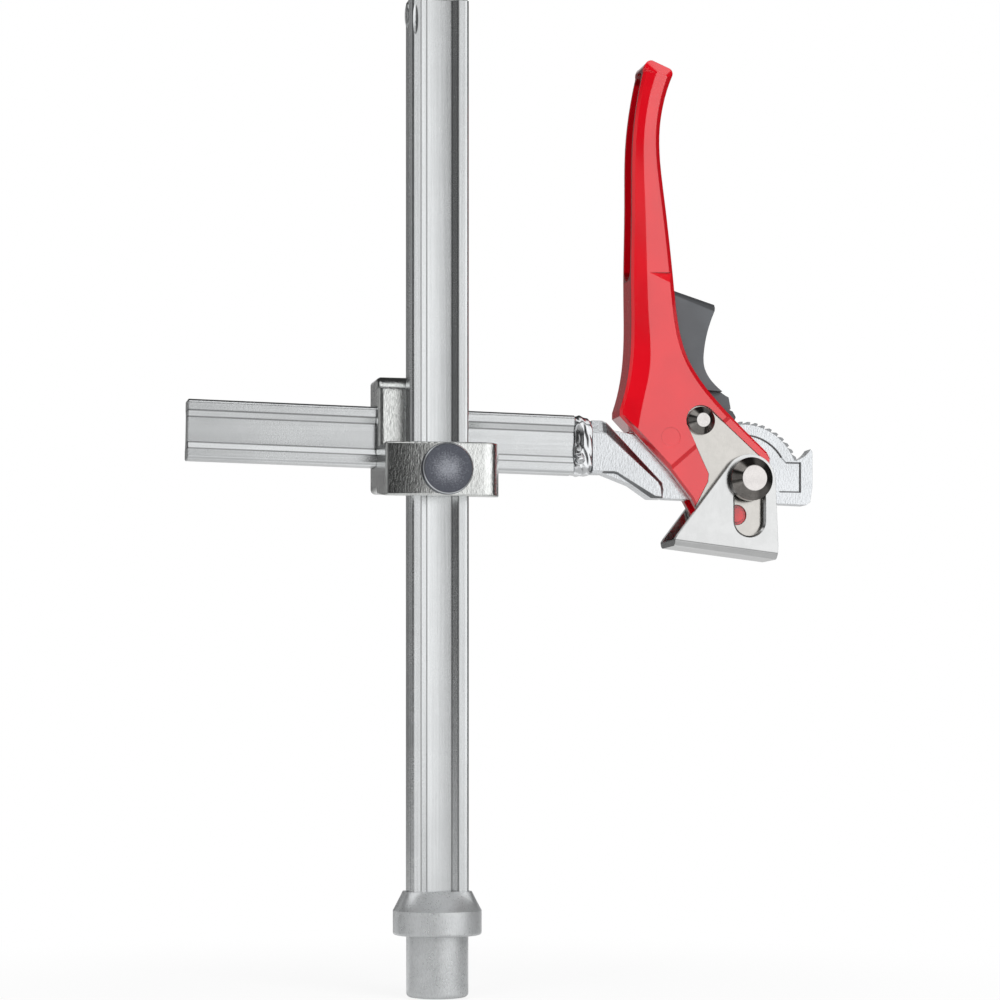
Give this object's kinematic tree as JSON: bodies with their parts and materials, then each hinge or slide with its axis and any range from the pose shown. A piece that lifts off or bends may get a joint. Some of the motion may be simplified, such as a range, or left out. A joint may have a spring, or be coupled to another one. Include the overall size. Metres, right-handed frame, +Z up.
{
  "type": "welding table clamp",
  "caption": "Spigot-mounted table clamp with a grooved post, sliding hub, cross rail and cam lever that presses a folded foot; release trigger under the grip.",
  "frame": {"origin": "centre of the collar's underside, on the spigot's axis, in the plane of the table top", "axes": "+Z up along the post, +X along the cross rail towards the lever, +Y away from the viewer towards the cross rail's side of the post"},
  "size_m": [0.2925, 0.059, 0.4476],
  "materials": {
    "rail_zinc": "bright zinc, fine rolled grain",
    "collar_zinc": "satin zinc over a forging",
    "hub_zinc": "mottled zinc over a casting",
    "stud_steel": "dark sanded steel",
    "weld_zinc": "zinc over a weld bead",
    "head_zinc": "bright zinc over a forging",
    "pin_steel": "polished steel",
    "handle_red": "glossy moulded",
    "plate_steel": "satin stamped steel",
    "spring_steel": "drawn wire",
    "trigger_grey": "fine grained moulded",
    "pawl_steel": "hardened dark steel",
    "bush_steel": "turned steel",
    "foot_zinc": "bright zinc on folded sheet"
  },
  "bodies": {
    "post": {"post_rail": "rail_zinc", "spigot_collar": "collar_zinc"},
    "hub": {"hub_forging": "hub_zinc", "hub_stud": "stud_steel"},
    "arm": {"cross_rail": "rail_zinc", "arm_weld": "weld_zinc", "arm_head": "head_zinc", "pivot_pin": "pin_steel", "pivot_cap": "pin_steel"},
    "lever": {"lever_handle": "handle_red", "side_plate_front": "plate_steel", "side_plate_rear": "plate_steel", "trigger_pin": "pin_steel", "trigger_cap": "pin_steel", "trigger_spring": "spring_steel"},
    "trigger": {"release_trigger": "trigger_grey", "pawl": "pawl_steel", "pawl_rivet": "pin_steel"},
    "bushes": {"slot_bush_front": "bush_steel", "slot_bush_rear": "bush_steel"},
    "foot": {"pressure_foot": "foot_zinc"}
  },
  "joints": [
    {"name": "hub_slide", "type": "slide", "parent": "post", "child": "hub", "axis": [0, 0, 1], "range_m": [-0.164, 0.15]},
    {"name": "arm_slide", "type": "slide", "parent": "hub", "child": "arm", "axis": [0.9998, 0, -0.0183], "range_m": [-0.035, 0.075]},
    {"name": "lever_pivot", "type": "hinge", "parent": "arm", "child": "lever", "pos_m": [0.148, 0.0175, 0.208], "axis": [0, 1, 0], "range_deg": [0, 62]},
    {"name": "trigger_pivot", "type": "hinge", "parent": "lever", "child": "trigger", "pos_m": [0.1255, 0.0175, 0.235], "axis": [0, 1, 0], "range_deg": [-7, 0], "stiffness_Nm_per_rad": 0.5, "springref_deg": 5.73},
    {"name": "foot_swivel", "type": "hinge", "parent": "arm", "child": "bushes", "pos_m": [0.148, 0.0175, 0.208], "axis": [0, 1, 0], "range_deg": [-8, 8]},
    {"name": "foot_slide", "type": "slide", "parent": "bushes", "child": "foot", "axis": [0, 0, 1], "range_m": [0, 0.0108]}
  ],
  "couplings": [
    {"joint": "foot_slide", "follows": "lever_pivot", "m_per_rad": 0.0099}
  ]
}
